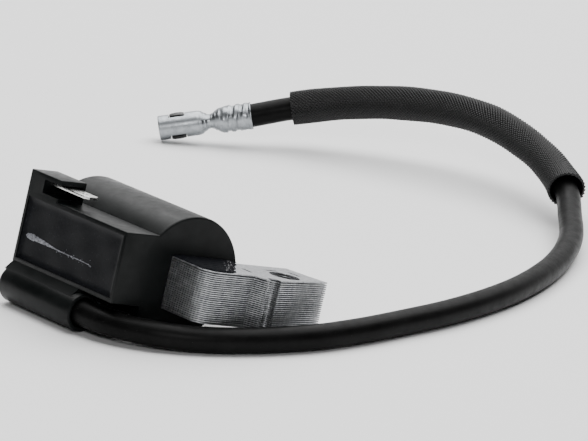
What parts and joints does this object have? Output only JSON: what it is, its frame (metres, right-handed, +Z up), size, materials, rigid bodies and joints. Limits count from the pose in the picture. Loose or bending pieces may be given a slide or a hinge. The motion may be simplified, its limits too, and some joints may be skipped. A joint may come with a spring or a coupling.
{
  "type": "ignition coil",
  "caption": "Flywheel-magneto ignition coil with a U-shaped laminated core, a potted black case and a sleeved spark plug lead ending in a rolled spring-clip terminal.",
  "frame": {"origin": "middle of the coil's own box, without the lead, on the surface that it lies on", "axes": "+X along the windings towards the end where the lead leaves the boss, +Y from the potted face towards the pole faces, +Z up; the coil lies tilted about X, resting on its lead boss and pole tips"},
  "size_m": [0.2017, 0.2139, 0.0362],
  "materials": {
    "case_plastic": "satin black moulded thermoplastic",
    "potting_resin": "satin blue-black filled epoxy",
    "core_steel": "satin silicon steel laminations",
    "bobbin_plastic": "natural glass-filled nylon",
    "copper_wire": "enamelled copper",
    "board_laminate": "green glass-epoxy board",
    "component_black": "moulded black epoxy",
    "component_orange": "dipped film capacitor",
    "resistor_body": "lacquered ceramic",
    "tinned_brass": "bright tinned brass",
    "contact_brass": "plain brass",
    "lead_rubber": "satin black rubber",
    "sleeve_braid": "open woven black polyester",
    "terminal_plating": "bright tin-plated steel",
    "clip_steel": "black oxide spring steel"
  },
  "bodies": {
    "coil": {"housing": "case_plastic", "potting": "potting_resin", "core_bar": "core_steel", "right_leg_stack": "core_steel", "left_leg_stack": "core_steel", "primary_bobbin": "bobbin_plastic", "primary_winding": "copper_wire", "secondary_bobbin": "bobbin_plastic", "secondary_winding": "copper_wire", "circuit_board": "board_laminate", "power_transistor": "component_black", "capacitor": "component_orange", "resistors": "resistor_body", "diode": "component_black", "kill_terminal": "tinned_brass", "ground_strip": "contact_brass", "hv_wire": "copper_wire", "lead_spike": "contact_brass", "lead_insulation": "lead_rubber", "lead_conductor": "copper_wire", "woven_sleeve": "sleeve_braid", "terminal_barrel": "terminal_plating"},
    "jaw_upper": {"clip_jaw_upper": "clip_steel"},
    "jaw_lower": {"clip_jaw_lower": "clip_steel"}
  },
  "joints": [
    {"name": "jaw_upper_spread", "type": "slide", "parent": "coil", "child": "jaw_upper", "axis": [-0.3041, -0.0227, 0.9524], "range_m": [0, 0.00045], "stiffness_N_per_m": 1500},
    {"name": "jaw_lower_spread", "type": "slide", "parent": "coil", "child": "jaw_lower", "axis": [0.3041, 0.0227, -0.9524], "range_m": [0, 0.00045], "stiffness_N_per_m": 1500}
  ],
  "couplings": [
    {"joint": "jaw_lower_spread", "follows": "jaw_upper_spread", "ratio": 1}
  ]
}
